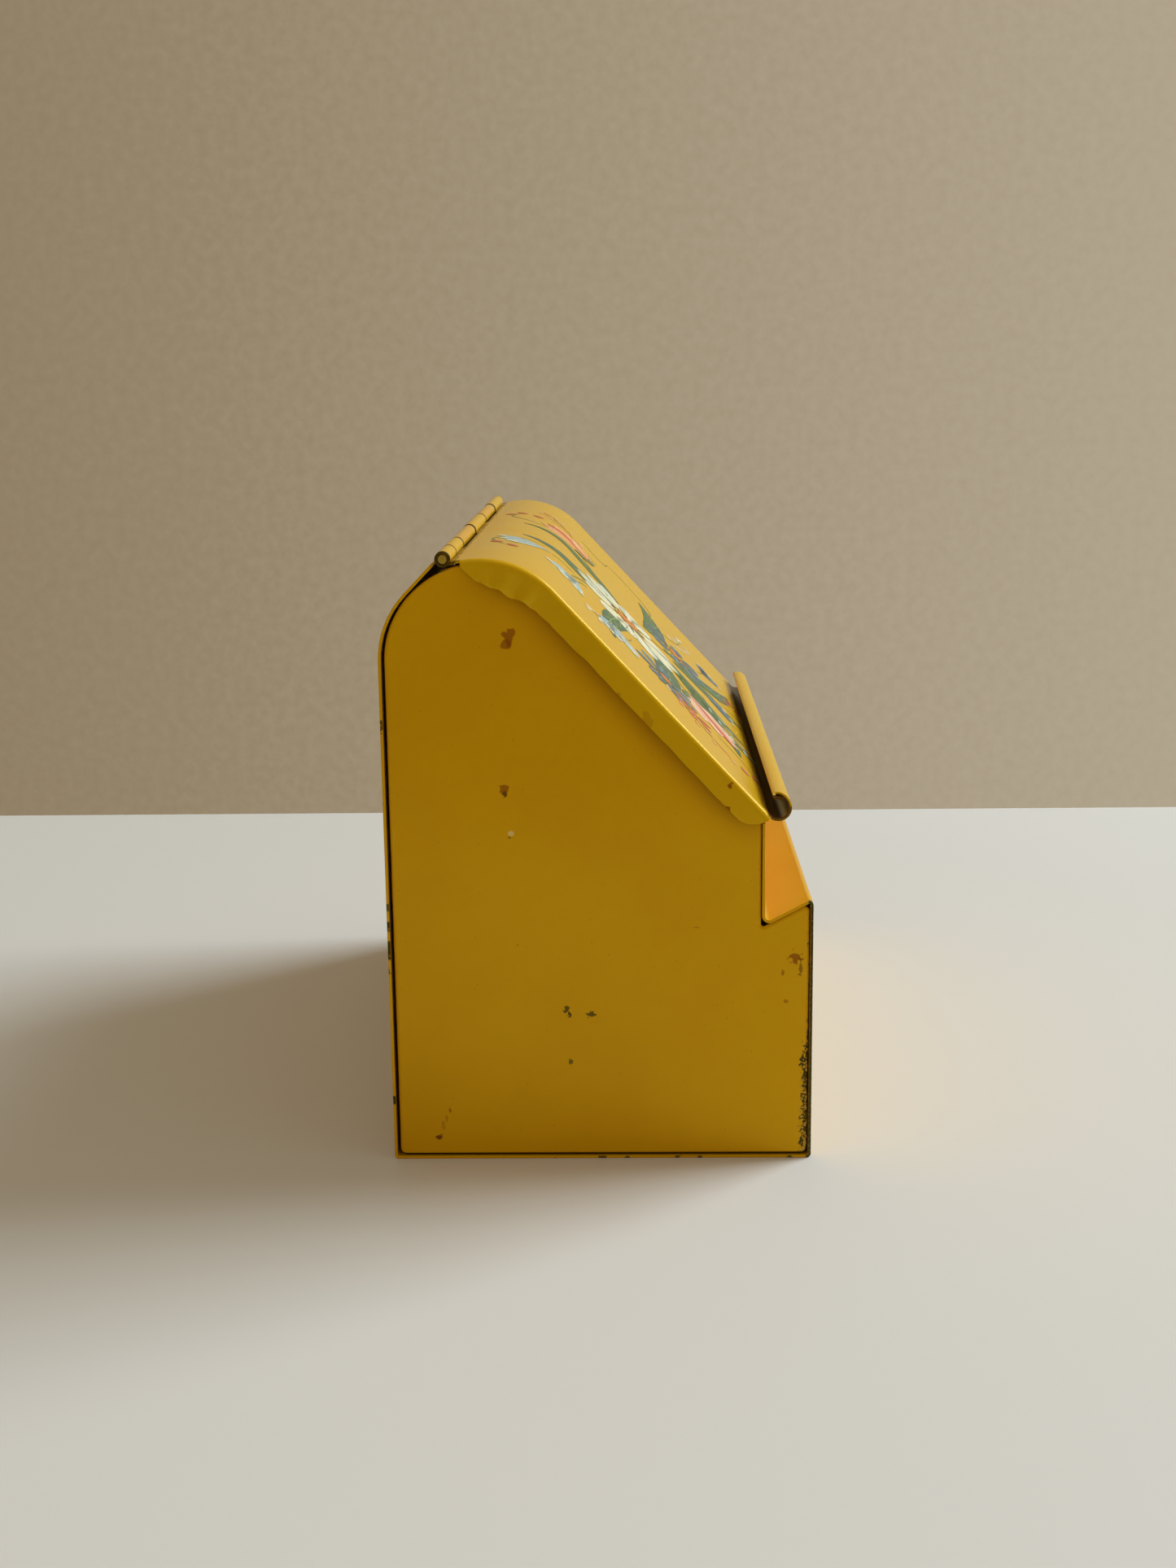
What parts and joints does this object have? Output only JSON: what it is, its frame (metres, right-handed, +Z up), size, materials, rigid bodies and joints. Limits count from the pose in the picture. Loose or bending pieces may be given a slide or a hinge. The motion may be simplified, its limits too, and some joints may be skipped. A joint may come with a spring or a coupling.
{
  "type": "slant-top card box",
  "caption": "Small hinged tinplate box with a rounded back, a slanted lid with a curled card lip, and a finger recess along the front, for index cards.",
  "frame": {"origin": "centre of the box's footprint, on the surface that it stands on", "axes": "+X along the box's width to its right end, -Y to the front where the lid opens, +Z up"},
  "size_m": [0.139, 0.072, 0.1051],
  "materials": {
    "body_enamel": "satin baked enamel, warm yellow, chipped to bare metal along its edges",
    "lid_enamel": null,
    "pin_wire": "dulled steel wire with traces of yellow enamel"
  },
  "bodies": {
    "box": {"body_wrap": "body_enamel", "left_end_panel": "body_enamel", "right_end_panel": "body_enamel", "hinge_pin": "pin_wire"},
    "lid": {"lid": "lid_enamel"}
  },
  "joints": [
    {"name": "lid_hinge", "type": "hinge", "parent": "box", "child": "lid", "pos_m": [0, 0.02494, 0.10378], "axis": [-1, 0, 0], "range_deg": [0, 205]}
  ]
}
